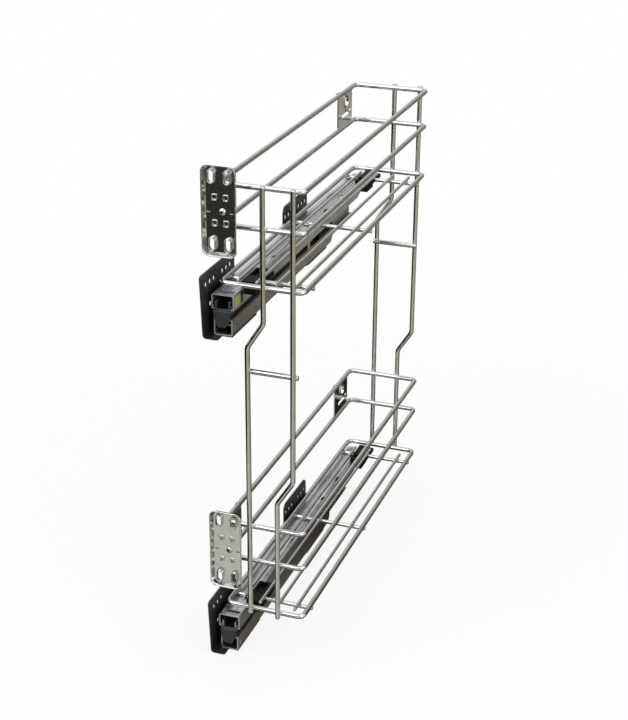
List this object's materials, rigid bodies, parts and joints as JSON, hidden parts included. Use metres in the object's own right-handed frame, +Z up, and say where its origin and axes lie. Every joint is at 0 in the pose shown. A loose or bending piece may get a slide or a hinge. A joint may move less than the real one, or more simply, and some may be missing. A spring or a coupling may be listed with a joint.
{
  "type": "pull-out cabinet basket",
  "caption": "Two-tier chrome wire pull-out for a narrow base cabinet, on side-mounted full-extension runners with door brackets.",
  "frame": {"origin": "on the cabinet wall, at the centre of the screw holes of the lower front wall bracket", "axes": "+X from the left cabinet wall across the basket, -Y towards the door (the pull direction), +Z up"},
  "size_m": [0.111, 0.501, 0.613],
  "materials": {
    "chrome_wire": "bright chrome plate over steel wire",
    "chrome_plate": "bright chrome plate over pressed steel",
    "zinc_sheet": "zinc plated steel sheet, drawn lengthwise",
    "runner_sheet": "passivated zinc steel sheet, drawn lengthwise",
    "bright_sheet": "zinc plated steel sheet, drawn lengthwise",
    "ball_steel": "polished bearing steel",
    "cage_plastic": "moulded nylon",
    "black_plastic": "moulded, satin",
    "grey_plastic": "moulded, satin",
    "black_coat": "satin black powder coat over steel",
    "fastener_zinc": "bright zinc plate"
  },
  "bodies": {
    "wall_side": {"lower_fixed_channel": "runner_sheet", "upper_fixed_channel": "runner_sheet", "lower_soft_close_unit": "black_plastic", "upper_soft_close_unit": "black_plastic", "lower_front_wall_bracket": "black_coat", "upper_front_wall_bracket": "black_coat", "lower_rear_wall_bracket": "black_coat", "upper_rear_wall_bracket": "black_coat", "lower_rivets": "fastener_zinc", "upper_rivets": "fastener_zinc"},
    "basket": {"lower_top_rail": "chrome_wire", "lower_middle_rail": "chrome_wire", "lower_bottom_rail": "chrome_wire", "upper_top_rail": "chrome_wire", "upper_middle_rail": "chrome_wire", "upper_bottom_rail": "chrome_wire", "lower_cross_bars": "chrome_wire", "upper_cross_bars": "chrome_wire", "lower_floor_wires": "chrome_wire", "upper_floor_wires": "chrome_wire", "front_left_upright": "chrome_wire", "front_right_upright": "chrome_wire", "rear_left_upright": "chrome_wire", "rear_right_upright": "chrome_wire", "front_tie_bar": "chrome_wire", "rear_tie_bar": "chrome_wire", "lower_front_side_plate": "chrome_plate", "lower_rear_side_plate": "chrome_plate", "upper_front_side_plate": "chrome_plate", "upper_rear_side_plate": "chrome_plate", "lower_door_bracket": "chrome_plate", "upper_door_bracket": "chrome_plate", "lower_door_bracket_screws": "fastener_zinc", "upper_door_bracket_screws": "fastener_zinc", "lower_drawer_member": "zinc_sheet", "upper_drawer_member": "zinc_sheet", "lower_front_clip": "black_plastic", "upper_front_clip": "black_plastic", "lower_rear_clip": "black_plastic", "upper_rear_clip": "black_plastic"},
    "lower_middle": {"lower_middle_member": "bright_sheet", "lower_front_buffer": "grey_plastic"},
    "lower_top_cage": {"lower_tier_top_cage": "cage_plastic", "lower_tier_top_balls": "ball_steel"},
    "lower_bottom_cage": {"lower_tier_bottom_cage": "cage_plastic", "lower_tier_bottom_balls": "ball_steel"},
    "upper_middle": {"upper_middle_member": "bright_sheet", "upper_front_buffer": "grey_plastic"},
    "upper_top_cage": {"upper_tier_top_cage": "cage_plastic", "upper_tier_top_balls": "ball_steel"},
    "upper_bottom_cage": {"upper_tier_bottom_cage": "cage_plastic", "upper_tier_bottom_balls": "ball_steel"}
  },
  "joints": [
    {"name": "basket_slide", "type": "slide", "parent": "wall_side", "child": "basket", "axis": [0, -1, 0], "range_m": [0, 0.43]},
    {"name": "lower_middle_slide", "type": "slide", "parent": "wall_side", "child": "lower_middle", "axis": [0, -1, 0], "range_m": [0, 0.215]},
    {"name": "lower_top_cage_slide", "type": "slide", "parent": "wall_side", "child": "lower_top_cage", "axis": [0, -1, 0], "range_m": [0, 0.3225]},
    {"name": "lower_bottom_cage_slide", "type": "slide", "parent": "wall_side", "child": "lower_bottom_cage", "axis": [0, -1, 0], "range_m": [0, 0.1075]},
    {"name": "upper_middle_slide", "type": "slide", "parent": "wall_side", "child": "upper_middle", "axis": [0, -1, 0], "range_m": [0, 0.215]},
    {"name": "upper_top_cage_slide", "type": "slide", "parent": "wall_side", "child": "upper_top_cage", "axis": [0, -1, 0], "range_m": [0, 0.3225]},
    {"name": "upper_bottom_cage_slide", "type": "slide", "parent": "wall_side", "child": "upper_bottom_cage", "axis": [0, -1, 0], "range_m": [0, 0.1075]}
  ],
  "couplings": [
    {"joint": "lower_middle_slide", "follows": "basket_slide", "ratio": 0.5},
    {"joint": "lower_top_cage_slide", "follows": "basket_slide", "ratio": 0.75},
    {"joint": "lower_bottom_cage_slide", "follows": "basket_slide", "ratio": 0.25},
    {"joint": "upper_middle_slide", "follows": "basket_slide", "ratio": 0.5},
    {"joint": "upper_top_cage_slide", "follows": "basket_slide", "ratio": 0.75},
    {"joint": "upper_bottom_cage_slide", "follows": "basket_slide", "ratio": 0.25}
  ]
}
